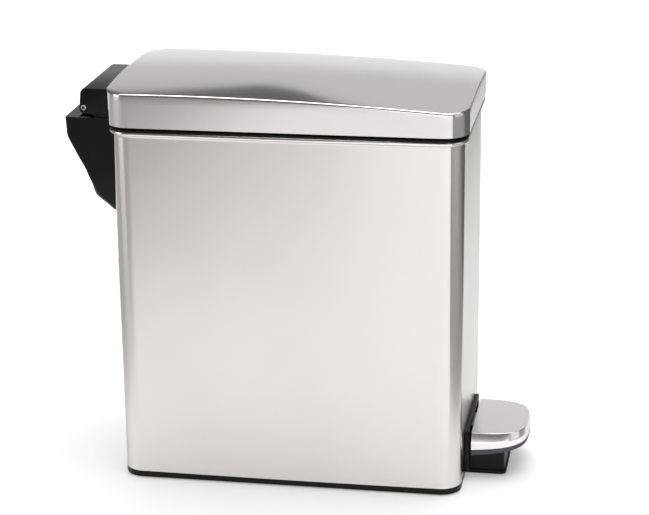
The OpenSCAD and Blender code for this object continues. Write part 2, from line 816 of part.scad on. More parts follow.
// Plan of the pedal, straight at the wall and round at its outer corners, drawn g inside.
// The corner circles are cut off at the heel, so that a large corner radius never reaches the bezel.
module pedal_plan(g) {
  x0 = pedal_x[0];
  x1 = pedal_x[1] - g;
  h = pedal_w / 2 - g;
  r = pedal_r - g;
  intersection() {
    translate([x0, -h]) square([x1 - x0, 2 * h]);
    union() {
      translate([x0, -h]) square([x1 - x0 - r, 2 * h]);
      translate([x0, -h + r]) square([x1 - x0, 2 * (h - r)]);
      for (y = [-1, 1]) translate([x1 - r, y * (h - r)]) circle(r);
    }
  }
}

module pedal_block(g, low, high) {
  translate([0, 0, low]) linear_extrude(high - low) pedal_plan(g);
}

module pedal_core() {
  color([0.12, 0.12, 0.13]) placed() difference() {
    union() {
      pedal_block(0, pedal_low, pedal_low + pedal_lip_h);
      pedal_block(sheet + run_fit, pedal_low, pedal_z - sheet - run_fit);
    }
    pedal_block(3, pedal_low - 1, pedal_rise);
    block([pedal_x[0] - 1, -pedal_w / 2 + 3, pedal_low - 1], [pedal_x[0] + 5, pedal_w / 2 - 3, pedal_rise]);
    pedal_screw_places() translate([0, 0, -1]) cylinder(r = pedal_screw[0], h = 2.4);
  }
}

module pedal_cover() {
  color("silver") placed() difference() {
    pedal_block(0, pedal_low + pedal_lip_h + run_fit, pedal_z);
    pedal_block(sheet, pedal_low, pedal_z - sheet);
    block([pedal_x[0] - 1, -pedal_w / 2 + sheet, pedal_low],
          [pedal_x[0] + 2, pedal_w / 2 - sheet, pedal_z - sheet]);
  }
}

module pedal_screws() {
  color("gray") placed() pedal_screw_places() {
    translate([0, 0, -lever_t]) cylinder(r = pedal_screw[0] - run_fit, h = lever_t + 1.3);
    translate([0, 0, -lever_t - pedal_screw[2]]) cylinder(r = pedal_screw[1], h = pedal_screw[2]);
  }
}

body_shell();
base_tray();
rubber_feet();
top_collar();
lid_bumpers();
pedal_bezel();
inner_bucket();
hinge_bracket();
bracket_rivets();
rear_cover();
cover_screws();
hinge_pin();
hinge_bushes();
rod_guide();
guide_rivets();
damper_cylinder();
damper_clips();
pedal_axle();
axle_clips();
lid_shell();
lid_liner();
lid_lever();
lid_screws();
hinge_cap();
cap_screws();
push_rod();
link_pins();
rod_yoke();
damper_piston();
pedal_lever();
axle_spacers();
pedal_core();
pedal_cover();
pedal_screws();
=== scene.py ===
import json
import math

import bmesh
import bpy
import numpy as np
from mathutils import Euler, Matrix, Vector


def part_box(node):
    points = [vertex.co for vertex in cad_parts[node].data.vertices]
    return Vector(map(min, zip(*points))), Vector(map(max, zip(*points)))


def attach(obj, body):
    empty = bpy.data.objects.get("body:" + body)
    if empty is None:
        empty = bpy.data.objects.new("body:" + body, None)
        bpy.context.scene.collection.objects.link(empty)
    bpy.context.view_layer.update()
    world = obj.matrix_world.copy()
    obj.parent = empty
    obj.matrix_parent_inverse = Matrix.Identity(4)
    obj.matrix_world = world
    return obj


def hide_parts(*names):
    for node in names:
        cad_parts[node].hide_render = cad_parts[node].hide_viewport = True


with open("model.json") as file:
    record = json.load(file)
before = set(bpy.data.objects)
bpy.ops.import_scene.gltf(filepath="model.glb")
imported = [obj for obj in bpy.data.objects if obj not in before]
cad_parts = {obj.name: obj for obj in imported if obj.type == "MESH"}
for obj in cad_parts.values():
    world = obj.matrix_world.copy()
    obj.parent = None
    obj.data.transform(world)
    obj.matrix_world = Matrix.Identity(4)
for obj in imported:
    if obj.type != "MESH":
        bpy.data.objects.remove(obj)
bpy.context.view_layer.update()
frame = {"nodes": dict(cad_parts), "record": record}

MM = 0.001


# ---- Studio -------------------------------------------------------------------------------
# White paper on the floor and behind the bin, in a dark grey room, with softboxes above, in front
# and on the left and a dim reflector on the right, which the steel mirrors. The papers carry a painted
# glow. The camera sees only the sheet under the bin and a white dome all round. The floor to the right,
# behind the front softbox, is grey paper with no glow: painted shade, which the steel mirrors.

def linear(hex_colour):
    """sRGB hex to linear RGBA: the two-piece sRGB curve undone for each channel."""
    value = np.array([int(hex_colour[i:i + 2], 16) for i in (1, 3, 5)]) / 255
    flat = np.where(value <= 0.04045, value / 12.92, ((value + 0.055) / 1.055) ** 2.4)
    return (*flat.tolist(), 1.0)


def add_node(material, kind, settings=None, links=None):
    """Adds one shader node, sets its properties and input values, and links sockets to its inputs."""
    made = material.node_tree.nodes.new(kind)
    for key, value in (settings or {}).items():
        if isinstance(key, str) and hasattr(made, key):
            setattr(made, key, value)
        else:
            made.inputs[key].default_value = value
    for key, source in (links or {}).items():
        material.node_tree.links.new(source, made.inputs[key])
    return made


def new_material(name):
    """An empty node material and its output node."""
    material = bpy.data.materials.new(name)
    material.use_nodes = True
    material.node_tree.nodes.clear()
    output = material.node_tree.nodes.new("ShaderNodeOutputMaterial")
    return material, output


def two_tones(material, first, second, share):
    """Mix node that goes from the first sRGB tone to the second as share rises."""
    return add_node(material, "ShaderNodeMix", {"data_type": "RGBA", 6: linear(first), 7: linear(second)},
                    {"Factor": share})


def glowing_paper(name, level, axis, across, along=None):
    """Matt paper with a painted glow: its emission is painted light. Its tone and its glow rise from the
    first to the second level as one axis runs through the span across, and are at the second level wherever
    the other axis is past the span along. A first level below the second paints shade."""
    material, output = new_material(name)
    place = add_node(material, "ShaderNodeTexCoord")
    split = add_node(material, "ShaderNodeSeparateXYZ", links={0: place.outputs["Object"]})
    rise = add_node(material, "ShaderNodeMapRange",
                    {"interpolation_type": "SMOOTHSTEP", "From Min": across[0], "From Max": across[1]},
                    {"Value": split.outputs[axis]})
    if along:
        near = add_node(material, "ShaderNodeMapRange",
                        {"interpolation_type": "SMOOTHSTEP", "From Min": along[0], "From Max": along[1]},
                        {"Value": split.outputs["Y"]})
        rise = add_node(material, "ShaderNodeMath", {"operation": "MAXIMUM"},
                        {0: rise.outputs[0], 1: near.outputs[0]})
    tone = two_tones(material, level[0][0], level[1][0], rise.outputs[0])
    glow = add_node(material, "ShaderNodeMapRange", {"To Min": level[0][1], "To Max": level[1][1]},
                    {"Value": rise.outputs[0]})
    paper = add_node(material, "ShaderNodeBsdfPrincipled", {"Roughness": 0.9, "Specular IOR Level": 0.1},
                     {"Base Color": tone.outputs[2], "Emission Color": tone.outputs[2],
                      "Emission Strength": glow.outputs[0]})
    material.node_tree.links.new(paper.outputs[0], output.inputs[0])
    return material


def grid_quads(rows, columns, start=0):
    """Quads of a grid that closes on itself along its columns."""
    index = start + np.arange(rows * columns).reshape(rows, columns)
    right = np.roll(index, -1, 1)
    return np.stack([index[:-1], right[:-1], right[1:], index[1:]], 2).reshape(-1, 4)


floor_left, floor_right, floor_front, floor_end, back_y = -3.2, 0.3, -2.6, 1.0, 4.6
floor_seen, side_end = -0.3, 0.35
slant_near, slant_far = (floor_right, -0.2, 0), (2.3, -2.2, 0)
# The floor paper's tone and glow are painted lower to the left and to the front: painted shade on the floor,
# which the steel mirrors.
floor_paper_painted_shade = glowing_paper("floor_paper_painted_shade", (("#C6C6C6", 0.06), ("#F8F8F8", 0.3)), "X", (-0.48, -0.22),
                        (0.3, 0.55))
# Grey paper with no glow on the floor to the right, unseen by the camera: painted shade, which the steel
# mirrors.
side_paper_painted_shade = glowing_paper("side_paper_painted_shade", (("#A6A6A6", 0.0), ("#A6A6A6", 0.0)), "X", (0.0, 1.0))
# The back paper's glow is painted stronger at the foot than higher up: a painted fall of light, which the lid
# mirrors.
back_paper_painted_glow = glowing_paper("back_paper_painted_glow", (("#F4F4F4", 0.9), ("#F4F4F4", 0.58)), "Z", (0.9, 1.6))
back_top = [(1.75, 3.6), (-0.3, 3.6), (-0.5, 3.0), (-0.7, 2.58), (-0.81, 2.3), (-0.92, 2.15), (-1.0, 2.17),
            (-1.1, 2.27), (-1.2, 2.33), (-1.36, 2.44), (floor_left, 3.0)]
for name, corners, paper, seen in (
        ("floor_sheet", [(floor_seen, floor_front, 0), (slant_far[0], floor_front, 0), slant_far, slant_near,
                         (floor_right, floor_end, 0), (floor_seen, floor_end, 0)], floor_paper_painted_shade, True),
        ("left_floor_sheet", [(floor_left, floor_front, 0), (floor_seen, floor_front, 0),
                              (floor_seen, floor_end, 0), (floor_left, floor_end, 0)], floor_paper_painted_shade, False),
        ("far_floor_sheet", [(floor_left, floor_end, 0), (floor_right, floor_end, 0),
                             (floor_right, back_y, 0), (floor_left, back_y, 0)], floor_paper_painted_shade, False),
        ("side_floor_sheet", [slant_near, slant_far, (slant_far[0], side_end, 0), (floor_right, side_end, 0)],
         side_paper_painted_shade, False),
        ("back_sheet", [(x, back_y, z) for x, z in [(floor_left, 0.0), (back_top[0][0], 0.0)] + back_top],
         back_paper_painted_glow, False)):
    paper_mesh = bpy.data.meshes.new(name)
    paper_mesh.from_pydata(corners, [], [list(range(len(corners)))])
    paper_mesh.materials.append(paper)
    sheet_of_paper = bpy.data.objects.new(name, paper_mesh)
    sheet_of_paper.visible_camera = seen
    bpy.context.scene.collection.objects.link(sheet_of_paper)

dome_r, dome_rows, dome_columns = 9.0, 13, 48
dome_foot = -0.0001      # height of the dome's flat foot, as a share of its radius
rise, turn = np.meshgrid(np.linspace(-0.5, 0.5, dome_rows) * np.pi,
                         np.arange(dome_columns) / dome_columns * 2 * np.pi, indexing="ij")
dome_points = np.stack([np.cos(rise) * np.cos(turn), np.cos(rise) * np.sin(turn),
                        np.maximum(np.sin(rise), dome_foot)], 2) * dome_r
dome_mesh = bpy.data.meshes.new("white_dome")
dome_mesh.from_pydata(dome_points.reshape(-1, 3).tolist(), [], grid_quads(dome_rows, dome_columns).tolist())
dome_mesh.materials.append(glowing_paper("dome_paper", (("#FFFFFF", 1.0), ("#FFFFFF", 1.0)), "X", (0.0, 1.0)))
dome = bpy.data.objects.new("white_dome", dome_mesh)
dome.visible_glossy = False
dome.visible_diffuse = False
dome.visible_shadow = False
bpy.context.scene.collection.objects.link(dome)

for name, place, aim, size, power in (
        ("overhead_softbox", (0.1, 0.35, 2.2), (0, 0.1, 0.1), (2.4, 1.8), 46),
        ("front_softbox", (0.78, -2.1, 0.52), (0, 0, 0.4), (2.3, 1.04), 11.4),
        ("left_softbox", (-1.6, -0.78, 0.7), (0, 0, 0.3), (0.9, 1.4), 6.2),
        ("right_reflector", (1.66, -0.42, 0.6), (0, 0, 0.3), (1.25, 1.2), 3.4)):
    lamp = bpy.data.lights.new(name, "AREA")
    lamp.shape = "RECTANGLE"
    lamp.size, lamp.size_y = size
    lamp.energy = power
    stand = bpy.data.objects.new(name, lamp)
    stand.location = place
    stand.rotation_euler = (Vector(aim) - Vector(place)).to_track_quat("-Z", "Y").to_euler()
    stand.visible_camera = False
    bpy.context.scene.collection.objects.link(stand)

world = bpy.data.worlds.new("studio_room")
bpy.context.scene.world = world
world.use_nodes = True
world.node_tree.nodes["Background"].inputs["Color"].default_value = (1, 1, 1, 1)
world.node_tree.nodes["Background"].inputs["Strength"].default_value = 0.17
bpy.context.scene.view_settings.view_transform = "Standard"

camera_turn = math.radians(10.02)
camera_tilt = math.radians(18.29)
camera_roll = math.radians(-0.66)
camera_far = 1.6934
camera_aim = Vector((0.0153, 0.0, 0.1722))
camera_data = bpy.data.cameras.new("camera")
camera_data.sensor_width = 36
camera_data.lens = 113.5
camera_data.clip_start = 0.05
camera = bpy.data.objects.new("camera", camera_data)
away = Vector((math.sin(camera_turn) * math.cos(camera_tilt), -math.cos(camera_turn) * math.cos(camera_tilt),
               math.sin(camera_tilt)))
camera.location = camera_aim + camera_far * away
camera.rotation_euler = ((-away).to_track_quat("-Z", "Y").to_matrix()
                         @ Euler((0, 0, camera_roll)).to_matrix()).to_euler()
bpy.context.scene.collection.objects.link(camera)
bpy.context.scene.camera = camera


# ---- Steel body tube ----------------------------------------------------------------------
# One sheet of 0.8 mm ferritic stainless, bent to a tube with round corners and rolled over at the
# top. Its long sides belly out by a millimetre. It is satin polished with the grain running round.

body_low, body_high = (np.array(corner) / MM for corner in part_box("body_shell"))
mid_x = (body_low[0] + body_high[0]) / 2
rim_out = 3.0
sheet = 0.8
steel_l = body_high[0] - body_low[0] - 2 * rim_out
steel_w = body_high[1] - body_low[1] - 2 * rim_out
steel_r = 17.0


def rounded_outline(length, width, radius, belly=0.0, arc=16, side=14):
    """Loop of a rectangle with round corners, anticlockwise, and its outward normals. The long
    sides bow out by belly times (1 - s squared), s running from -1 to 1 along the side."""
    turn = np.linspace(0, np.pi / 2, arc)
    along = np.sin(np.linspace(-np.pi / 2, np.pi / 2, side + 2))[1:-1]
    half = np.array([length / 2, width / 2]) - radius
    points, normals = [], []
    for k in range(4):
        corner = half * ([1, -1, -1, 1][k], [1, 1, -1, -1][k])
        facing = np.stack([np.cos(turn + k * np.pi / 2), np.sin(turn + k * np.pi / 2)], 1)
        points.append(corner + radius * facing)
        normals.append(facing)
        out = facing[-1]
        travel = np.array([-out[1], out[0]])
        reach = abs(travel @ half)
        points.append(out * (abs(out @ half) + radius) + travel * reach * along[:, None])
        normals.append(np.repeat(out[None], side, 0))
    points, normals = np.concatenate(points), np.concatenate(normals)
    span = length / 2 - radius
    points[:, 1] += np.sign(points[:, 1]) * belly * np.clip(1 - (points[:, 0] / span) ** 2, 0, 1)
    return points, normals


def ring_stack(loop, normals, profile, centre=(0.0, 0.0)):
    """Grid of points: the loop carried up a profile of (offset along its normals, height)."""
    profile = np.asarray(profile, float)
    flat = loop[None] + normals[None] * profile[:, 0, None, None] + np.asarray(centre)
    height = np.broadcast_to(profile[:, 1, None, None], (len(profile), len(loop), 1))
    return np.concatenate([flat, height], 2)


def build(name, points, faces, material, slot, body, replaced, smooth=40.0):
    mesh = bpy.data.meshes.new(name)
    mesh.from_pydata((np.asarray(points).reshape(-1, 3) * MM).tolist(), [], [list(f) for f in faces])
    work = bmesh.new()
    work.from_mesh(mesh)
    bmesh.ops.remove_doubles(work, verts=work.verts, dist=1e-6)
    bmesh.ops.dissolve_degenerate(work, edges=work.edges, dist=1e-7)
    bmesh.ops.recalc_face_normals(work, faces=work.faces)
    work.to_mesh(mesh)
    work.free()
    mesh.polygons.foreach_set("use_smooth", np.ones(len(mesh.polygons), bool))
    mesh.set_sharp_from_angle(angle=math.radians(smooth))
    mesh.materials.append(material)
    piece = bpy.data.objects.new(name, mesh)
    bpy.context.scene.collection.objects.link(piece)
    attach(piece, body)
    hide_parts(*replaced)
    return piece


def sheet_faces(keep, rows, columns, seam=False):
    """Faces of a sheet whose outer grid comes first and inner grid second. keep is false for the
    cells that are cut out, and every cut edge gets a wall across the sheet, apart from a last row
    that closes to a seam."""
    outer = np.arange(rows * columns).reshape(rows, columns)
    inner = outer + rows * columns
    faces = []
    for side, flip in ((outer, False), (inner, True)):
        right = np.roll(side, -1, 1)
        quads = np.stack([side[:-1], right[:-1], right[1:], side[1:]], 2)[keep]
        faces.append(quads[:, ::-1] if flip else quads)
    padded = np.pad(keep, ((1, 1), (0, 0)))
    cut = padded[1:] != padded[:-1]
    if seam:
        cut[-1] = False
    level, column = np.nonzero(cut)
    after = (column + 1) % columns
    faces.append(np.stack([outer[level, column], inner[level, column], inner[level, after],
                           outer[level, after]], 1))
    row, column = np.nonzero(keep != np.roll(keep, 1, 1))
    faces.append(np.stack([outer[row, column], outer[row + 1, column], inner[row + 1, column],
                           inner[row, column]], 1))
    return np.concatenate(faces)


def satin_stainless(name, colour, roughness, grain_mm, anisotropy, bump):
    """Ferritic stainless, belt polished: hairline scratches along the sheet's length, drawn
    wider than the real 0.05 mm so that they show, and a slow change of tone across the sheet."""
    material, output = new_material(name)
    place = add_node(material, "ShaderNodeTexCoord")
    stretch = add_node(material, "ShaderNodeMapping", {"Scale": (4.0, 4.0, 1000 / grain_mm)},
                       {"Vector": place.outputs["Object"]})
    hairline = add_node(material, "ShaderNodeTexNoise", {"Scale": 1.0, "Detail": 4.0, "Roughness": 0.6},
                        {"Vector": stretch.outputs[0]})
    cloud = add_node(material, "ShaderNodeTexNoise", {"Scale": 9.0, "Detail": 2.0},
                     {"Vector": place.outputs["Object"]})
    blend = add_node(material, "ShaderNodeMath", {"operation": "MULTIPLY_ADD", 1: 0.7},
                     {0: hairline.outputs["Fac"], 2: cloud.outputs["Fac"]})
    rough = add_node(material, "ShaderNodeMapRange",
                     {"From Min": 0.5, "From Max": 1.2,
                      "To Min": roughness * 0.85, "To Max": roughness * 1.15},
                     {"Value": blend.outputs[0]})
    tone = two_tones(material, *colour, hairline.outputs["Fac"])
    scratch = add_node(material, "ShaderNodeBump", {"Strength": bump, "Distance": 0.00002},
                       {"Height": hairline.outputs["Fac"]})
    round_z = add_node(material, "ShaderNodeTangent", {"direction_type": "RADIAL", "axis": "Z"})
    steel = add_node(material, "ShaderNodeBsdfPrincipled",
                     {"Metallic": 1.0, "Anisotropic": anisotropy, "Anisotropic Rotation": 0.25,
                      "Specular Tint": linear("#DCDCDC")},
                     {"Base Color": tone.outputs[2], "Roughness": rough.outputs[0],
                      "Normal": scratch.outputs[0], "Tangent": round_z.outputs[0]})
    material.node_tree.links.new(steel.outputs[0], output.inputs[0])
    return material


body_steel = satin_stainless("satin_stainless_sheet", ("#D9D7D6", "#E1DFDE"), 0.22, 0.35, 0.9, 0.12)
steel_belly = 1.0
loop, facing = rounded_outline(steel_l, steel_w, steel_r, steel_belly, arc=20, side=40)
low_z, top_z = body_low[2], body_high[2]
roll_r = 1.75
roll = [(rim_out - roll_r + roll_r * math.cos(a), top_z - roll_r + roll_r * math.sin(a))
        for a in np.linspace(-math.pi / 2, math.pi / 2, 9)]
flare_z = top_z - 2 * roll_r - 1.2
end_zone = 100.0
pedal_way_half, pedal_way_top = 36.0, 38.6
rod_way_half, rod_way_low, rod_way_high = 6.5, 226.0, 272.0
levels = [low_z, 12.0, 24.0, pedal_way_top, 60.0, 120.0, 180.0, rod_way_low, rod_way_high,
          flare_z - 1.0, flare_z]
wall = [(0.0, z) for z in levels] + [(0.25, top_z - 2 * roll_r - 0.5), (0.8, top_z - 2 * roll_r - 0.05)]
outer = ring_stack(loop, facing, wall, (mid_x, 0))
inner = ring_stack(loop, facing, [(x - sheet, z) for x, z in wall], (mid_x, 0))
centre_x, centre_y = (outer[:-1, :, k] + np.roll(outer[:-1], -1, 1)[:, :, k] for k in (0, 1))
centre_x, centre_y = centre_x / 2, centre_y / 2
centre_z = (outer[:-1, :, 2] + outer[1:, :, 2]) / 2
pedal_way = (centre_x > mid_x + end_zone) & (abs(centre_y) < pedal_way_half) & (centre_z < pedal_way_top)
rod_way = (centre_x < mid_x - end_zone) & (abs(centre_y) < rod_way_half)
rod_way &= (centre_z > rod_way_low) & (centre_z < rod_way_high)
faces = sheet_faces(~(pedal_way | rod_way), len(wall), len(loop))
rim = [(-sheet, top_z - 2 * roll_r - 0.5), (0.2, top_z - 2 * roll_r - 0.1)] + roll + [(-sheet, top_z)]
rim_grid = ring_stack(loop, facing, rim + rim[:1], (mid_x, 0))
faces = faces.tolist() + grid_quads(len(rim) + 1, len(loop), outer.size * 2 // 3).tolist()
steel_body = build("steel_body", np.concatenate([grid.reshape(-1, 3) for grid in (outer, inner, rim_grid)]),
                   faces, body_steel, "brushed_steel", "bin", ["body_shell"])
# The rim's copy of the steel is smoother than the body's, and its tone is painted lighter: a painted
# highlight along the roll.
rim_steel_painted_highlight = satin_stainless("rolled_stainless_rim_painted_highlight", ("#E4E3E2", "#EBEAE9"), 0.14, 0.5, 0.0, 0.04)
steel_body.data.materials.append(rim_steel_painted_highlight)
face_centre = np.empty(3 * len(steel_body.data.polygons))
steel_body.data.polygons.foreach_get("center", face_centre)
in_rim = face_centre[2::3] > (flare_z + 0.8) * MM
steel_body.data.polygons.foreach_set("material_index", in_rim.astype(np.int32))


# ---- Lid ----------------------------------------------------------------------------------
# A pressing of the same steel, arched along its length and crowned across it, with a tight fold
# of 1.7 mm into its skirt. The rear of the skirt is notched for the lid lever.

lid_low, lid_high = (np.array(corner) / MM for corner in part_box("lid_shell"))
lid_steel = satin_stainless("polished_stainless_pressing", ("#DCDADA", "#E2E0E0"), 0.12, 0.5, 0.0, 0.06)
lid_l, lid_w = lid_high[:2] - lid_low[:2]
lid_r = 20.5
arch_r, crown_h, crest_in, fold_r = 3100.0, 4.5, 50.0, 1.7
cross_r = (lid_w / 2) ** 2 / (2 * crown_h)
crest_x = mid_x - steel_l / 2 + crest_in
fold_z = lid_low[2] + 27.0


def lid_height(x, y):
    """Height of a ring surface: an arc of cross_r across, turned about a far axis at arch_r."""
    spine = arch_r + crown_h - cross_r + np.sqrt(cross_r ** 2 - y ** 2)
    return fold_z - arch_r + np.sqrt(spine ** 2 - (x - crest_x) ** 2)


loop, facing = rounded_outline(lid_l, lid_w, lid_r, 0.0, arc=18, side=36)
spine_half = lid_l / 2 - lid_w / 2


def lid_grid(inset):
    """Rings of the pressing, inset measured into the sheet: up the skirt, round the fold and in
    to the middle line, where the last ring closes to a seam."""
    rows = []
    for share in np.linspace(0, 1, 5):
        flat = loop - facing * inset + (mid_x, 0)
        foot = np.full(len(loop), lid_low[2])
        shoulder = lid_height(loop[:, 0] + mid_x, loop[:, 1]) - fold_r
        rows.append(np.column_stack([flat, foot + share * (shoulder - foot)]))
    for angle in np.linspace(0, np.pi / 2, 9)[1:]:
        along = fold_r - (fold_r - inset) * np.cos(angle)
        flat = loop - facing * along + (mid_x, 0)
        drop = fold_r - (fold_r - inset) * np.sin(angle)
        outer_flat = loop - facing * (fold_r - fold_r * np.cos(angle)) + (mid_x, 0)
        rows.append(np.column_stack([flat, lid_height(*outer_flat.T) - drop]))
    edge = loop - facing * fold_r
    spine = np.column_stack([np.clip(edge[:, 0], -spine_half, spine_half), np.zeros(len(edge))])
    for share in (0.03, 0.08, 0.15, 0.24, 0.34, 0.45, 0.57, 0.7, 0.84, 1.0):
        flat = edge + share * (spine - edge) + (mid_x, 0)
        rows.append(np.column_stack([flat, lid_height(*flat.T) - inset]))
    return np.array(rows)


outer, inner = lid_grid(0.0), lid_grid(sheet)
centre = (outer[:-1] + outer[1:] + np.roll(outer, -1, 1)[:-1] + np.roll(outer, -1, 1)[1:]) / 4
notch_in, notch_half, notch_top = 5.0, 34.0, 309.0
notch = (centre[:, :, 0] < lid_low[0] + notch_in) & (abs(centre[:, :, 1]) < notch_half)
notch &= centre[:, :, 2] < notch_top
faces = sheet_faces(~notch, *outer.shape[:2], seam=True)
build("lid_pressing", np.concatenate([outer.reshape(-1, 3), inner.reshape(-1, 3)]), faces, lid_steel,
      "polished_steel", "lid", ["lid_shell"])


# ---- Rear cover ---------------------------------------------------------------------------
# An injection moulded polypropylene housing over the hinge and the push rod: 2 mm walls, a bent
# back and two lower corners that are cut to long facets. Two screws in deep bores hold it.

def moulded_plastic(name, colour, roughness, grain_mm, depth):
    """Plastic or rubber from a spark-eroded mould: a fine pebbled grain, drawn wider than the
    real one so that it shows, a second tone where it is rubbed, and a dull broad sheen."""
    material, output = new_material(name)
    place = add_node(material, "ShaderNodeTexCoord")
    pebble = add_node(material, "ShaderNodeTexNoise",
                      {"Scale": 1000 / grain_mm, "Detail": 3.0, "Roughness": 0.55},
                      {"Vector": place.outputs["Object"]})
    wear = add_node(material, "ShaderNodeTexNoise", {"Scale": 25.0, "Detail": 4.0},
                    {"Vector": place.outputs["Object"]})
    tone = two_tones(material, *colour, wear.outputs["Fac"])
    rough = add_node(material, "ShaderNodeMapRange", {"To Min": roughness - 0.06, "To Max": roughness + 0.08},
                     {"Value": wear.outputs["Fac"]})
    grain = add_node(material, "ShaderNodeBump", {"Strength": 0.35, "Distance": depth * MM},
                     {"Height": pebble.outputs["Fac"]})
    plastic = add_node(material, "ShaderNodeBsdfPrincipled", {"IOR": 1.49, "Specular IOR Level": 0.2},
                       {"Base Color": tone.outputs[2], "Roughness": rough.outputs[0],
                        "Normal": grain.outputs[0]})
    material.node_tree.links.new(plastic.outputs[0], output.inputs[0])
    return material


def fillet_path(points, reach, steps=5):
    """Open path with each bend replaced by a quadratic curve that starts and ends reach away
    from it, or halfway along a shorter leg."""
    points = np.asarray(points, float)
    before, bend, after = points[:-2], points[1:-1], points[2:]
    share = np.linspace(0, 1, steps)[:, None, None]
    legs = []
    for other in (before, after):
        leg = other - bend
        long = np.linalg.norm(leg, axis=1, keepdims=True)
        legs.append(bend + leg / long * np.minimum(reach, long * 0.48))
    curve = (1 - share) ** 2 * legs[0] + 2 * share * (1 - share) * bend + share ** 2 * legs[1]
    return np.concatenate([points[:1], curve.transpose(1, 0, 2).reshape(-1, 2), points[-1:]])


def block_between(low, high):
    """Corners and faces of a box between two opposite corners."""
    corners = np.array([[x, y, z] for x in (low[0], high[0])
                        for y in (low[1], high[1]) for z in (low[2], high[2])])
    sides = [(0, 1, 3, 2), (4, 6, 7, 5), (0, 4, 5, 1), (2, 3, 7, 6), (0, 2, 6, 4), (1, 5, 7, 3)]
    return corners, np.array(sides)


black_plastic = moulded_plastic("moulded_black_polypropylene", ("#050507", "#0A0A0D"), 0.36, 0.6, 0.05)
cover_low, cover_high = (np.array(corner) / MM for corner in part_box("rear_cover"))
wall_x = mid_x - steel_l / 2
cover_half = cover_high[1]
cover_reach = wall_x - cover_low[0]
cover_top = cover_high[2]
cover_t = 2.0
back = fillet_path([
    (cover_reach, cover_top), (cover_reach - 0.8, cover_top - 16), (cover_reach - 8.9, cover_top - 32.2),
    (cover_reach - 15.1, cover_top - 43.5), (cover_reach - 18.5, cover_top - 53.2),
    (cover_reach - 20.2, cover_top - 67.5), (cover_reach - 31.7, cover_low[2] + 1.5),
    (4.7, cover_low[2]), (0.0, cover_low[2])], 3.0)
narrow_from, narrow_over, narrow_by = 47.0, 33.0, 5.0
facet_from, facet_over, facet_top, facet_growth = 50.0, 26.0, 1.3, 9.5


def cover_plan(path, wall):
    """Half-hoops from wall to wall, one for each (reach, height) of the path. The hoop narrows
    towards the bottom, and its corners are cut by a facet that grows below the cover's middle."""
    reach, height = np.maximum(path[:, 0] - wall, 0.0), path[:, 1]
    fall = np.clip((cover_top - narrow_from - height) / narrow_over, 0, 1)
    half = cover_half - wall - narrow_by * fall ** 1.5
    growth = np.clip((cover_top - facet_from - height) / facet_over, 0, 1)
    facet = np.minimum(facet_top + facet_growth * growth, reach * 0.6)
    share = np.linspace(0, 1, 4)
    bulge = 0.16 * 4 * share * (1 - share)
    side = np.stack([np.linspace(0, 1, 5)[:-1] * (reach - facet)[:, None],
                     np.broadcast_to(half[:, None], (len(reach), 4))], 2)
    corner = np.stack([(reach - facet)[:, None] + facet[:, None] * (share + bulge / 2),
                       half[:, None] - facet[:, None] * (share - bulge / 2)], 2)
    flat = np.stack([np.broadcast_to(reach[:, None], (len(reach), 9)),
                     np.linspace(1, -1, 11)[1:-1] * (half - facet)[:, None]], 2)
    mirror = [1, -1]
    hoop = np.concatenate([side, corner, flat, corner[:, ::-1] * mirror, side[:, ::-1] * mirror], 1)
    lift = np.where(path[:, 0] < cover_reach - 18.6, wall, 0.0)
    z = np.broadcast_to((height + lift)[:, None, None], (*hoop.shape[:2], 1))
    return np.concatenate([wall_x - hoop[:, :, :1], hoop[:, :, 1:], z], 2)


outer, inner = cover_plan(back, 0.0)[::-1], cover_plan(back, cover_t)[::-1]
keep = np.ones((outer.shape[0] - 1, outer.shape[1]), bool)
keep[:, -1] = False
ledge_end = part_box("hinge_cap")[0][0] / MM - 1
ledge, ledge_faces = block_between((cover_low[0] + 1.0, -cover_half + 0.6, cover_top - cover_t),
                                   (ledge_end, cover_half - 0.6, cover_top - 0.02))
points = np.concatenate([outer.reshape(-1, 3), inner.reshape(-1, 3), ledge])
faces = sheet_faces(keep, *outer.shape[:2]).tolist() + (ledge_faces + len(points) - len(ledge)).tolist()
build("rear_housing", points, faces, black_plastic, "black_plastic", "bin", ["rear_cover"])


# ---- Hinge cap ----------------------------------------------------------------------------
# A moulded cap screwed to the back of the lid. It hides the lid lever, and the spring pin runs into
# its two cheeks, which have no bore, so they overlap the pin. Its underside and back are cut open.

def solid_along_y(loop, normals, profile):
    """Closed solid: the loop, which lies in the XZ plane, carried along Y, with both ends capped."""
    grid = ring_stack(loop, normals, profile)
    rows, columns = grid.shape[:2]
    faces = grid_quads(rows, columns).tolist()
    faces += [list(range(columns))[::-1], list(range((rows - 1) * columns, rows * columns))]
    return grid.reshape(-1, 3)[:, [0, 2, 1]], faces


def eased(low, high, radius, steps=4):
    """Profile of a plate with quarter-round edges, as (offset, height) pairs."""
    turn = np.linspace(0, np.pi / 2, steps)
    foot = [(-radius + radius * math.cos(a), low + radius - radius * math.sin(a)) for a in turn[::-1]]
    head = [(-radius + radius * math.cos(a), high - radius + radius * math.sin(a)) for a in turn]
    return foot + head


def carve(piece, boxes):
    """Cuts boxes out of a piece. Each is two opposite corners in millimetres."""
    for low, high in boxes:
        corners, sides = block_between(low, high)
        block = bpy.data.meshes.new("block")
        block.from_pydata((corners * MM).tolist(), [], sides.tolist())
        tool = bpy.data.objects.new("block", block)
        bpy.context.scene.collection.objects.link(tool)
        saw = piece.modifiers.new("saw", "BOOLEAN")
        saw.object = tool
        saw.operation = "DIFFERENCE"
        saw.solver = "EXACT"
        bpy.context.view_layer.update()
        shaped = bpy.data.meshes.new_from_object(piece.evaluated_get(bpy.context.evaluated_depsgraph_get()))
        piece.modifiers.remove(saw)
        piece.data = shaped
        bpy.data.objects.remove(tool)
    piece.data.set_sharp_from_angle(angle=math.radians(32))


